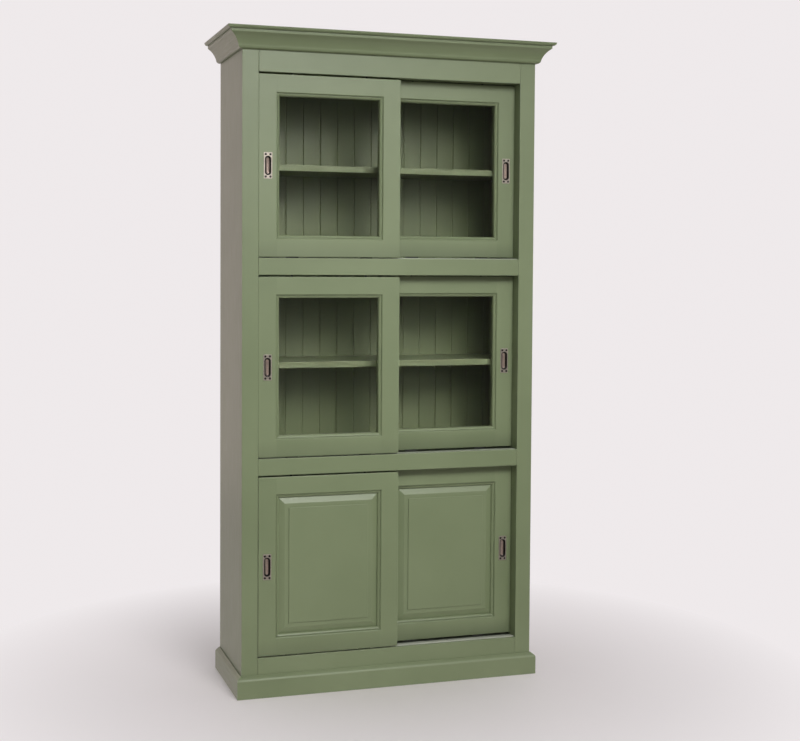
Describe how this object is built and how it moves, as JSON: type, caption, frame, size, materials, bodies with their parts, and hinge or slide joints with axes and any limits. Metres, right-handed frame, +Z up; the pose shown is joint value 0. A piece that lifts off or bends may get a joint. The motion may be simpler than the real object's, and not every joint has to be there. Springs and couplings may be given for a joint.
{
  "type": "kitchen cupboard",
  "caption": "Tall painted cupboard with glazed upper tiers, a raised-panel lower tier, by-pass sliding doors, flush pulls, a coved cornice and a bevelled plinth.",
  "frame": {"origin": "on the floor, under the middle of the whole outline", "axes": "+X to the right as one faces the doors, +Y to the back, +Z up; the doors face -Y"},
  "size_m": [1.09, 0.414, 2.1],
  "materials": {
    "painted_wood": "sage green satin paint over solid softwood",
    "glass": "clear float glass",
    "aged_pewter": "aged pewter with dark recesses",
    "track_aluminium": "satin",
    "nylon": "natural nylon",
    "steel": "zinc plated"
  },
  "bodies": {
    "carcass": {"side_panel_left": "painted_wood", "side_panel_right": "painted_wood", "bottom_panel": "painted_wood", "divider_lower": "painted_wood", "divider_upper": "painted_wood", "top_panel": "painted_wood", "dust_cover": "painted_wood", "back_boards": "painted_wood", "face_stile_left": "painted_wood", "face_stile_right": "painted_wood", "face_rail_bottom": "painted_wood", "face_rail_lower": "painted_wood", "face_rail_upper": "painted_wood", "face_rail_top": "painted_wood", "jamb_liners_left": "painted_wood", "jamb_liners_right": "painted_wood", "guide_battens": "painted_wood", "plinth_front": "painted_wood", "plinth_left": "painted_wood", "plinth_right": "painted_wood", "cornice_front": "painted_wood", "cornice_left": "painted_wood", "cornice_right": "painted_wood", "shelf_lower": "painted_wood", "shelf_middle": "painted_wood", "shelf_upper": "painted_wood", "shelf_pegs": "steel", "door_track_lower": "track_aluminium", "door_track_middle": "track_aluminium", "door_track_upper": "track_aluminium"},
    "lower_left_door": {"lower_left_door_frame": "painted_wood", "lower_left_door_panel": "painted_wood", "lower_left_door_mouldings": "painted_wood", "lower_left_door_pull": "aged_pewter", "lower_left_door_runners": "nylon"},
    "lower_right_door": {"lower_right_door_frame": "painted_wood", "lower_right_door_panel": "painted_wood", "lower_right_door_mouldings": "painted_wood", "lower_right_door_pull": "aged_pewter", "lower_right_door_runners": "nylon"},
    "middle_left_door": {"middle_left_door_frame": "painted_wood", "middle_left_door_glass": "glass", "middle_left_door_mouldings": "painted_wood", "middle_left_door_pull": "aged_pewter", "middle_left_door_runners": "nylon"},
    "middle_right_door": {"middle_right_door_frame": "painted_wood", "middle_right_door_glass": "glass", "middle_right_door_mouldings": "painted_wood", "middle_right_door_pull": "aged_pewter", "middle_right_door_runners": "nylon"},
    "upper_left_door": {"upper_left_door_frame": "painted_wood", "upper_left_door_glass": "glass", "upper_left_door_mouldings": "painted_wood", "upper_left_door_pull": "aged_pewter", "upper_left_door_runners": "nylon"},
    "upper_right_door": {"upper_right_door_frame": "painted_wood", "upper_right_door_glass": "glass", "upper_right_door_mouldings": "painted_wood", "upper_right_door_pull": "aged_pewter", "upper_right_door_runners": "nylon"}
  },
  "joints": [
    {"name": "lower_left_door_slide", "type": "slide", "parent": "carcass", "child": "lower_left_door", "axis": [1, 0, 0], "range_m": [0, 0.413]},
    {"name": "lower_right_door_slide", "type": "slide", "parent": "carcass", "child": "lower_right_door", "axis": [1, 0, 0], "range_m": [-0.413, 0]},
    {"name": "middle_left_door_slide", "type": "slide", "parent": "carcass", "child": "middle_left_door", "axis": [1, 0, 0], "range_m": [0, 0.413]},
    {"name": "middle_right_door_slide", "type": "slide", "parent": "carcass", "child": "middle_right_door", "axis": [1, 0, 0], "range_m": [-0.413, 0]},
    {"name": "upper_left_door_slide", "type": "slide", "parent": "carcass", "child": "upper_left_door", "axis": [1, 0, 0], "range_m": [0, 0.413]},
    {"name": "upper_right_door_slide", "type": "slide", "parent": "carcass", "child": "upper_right_door", "axis": [1, 0, 0], "range_m": [-0.413, 0]}
  ]
}
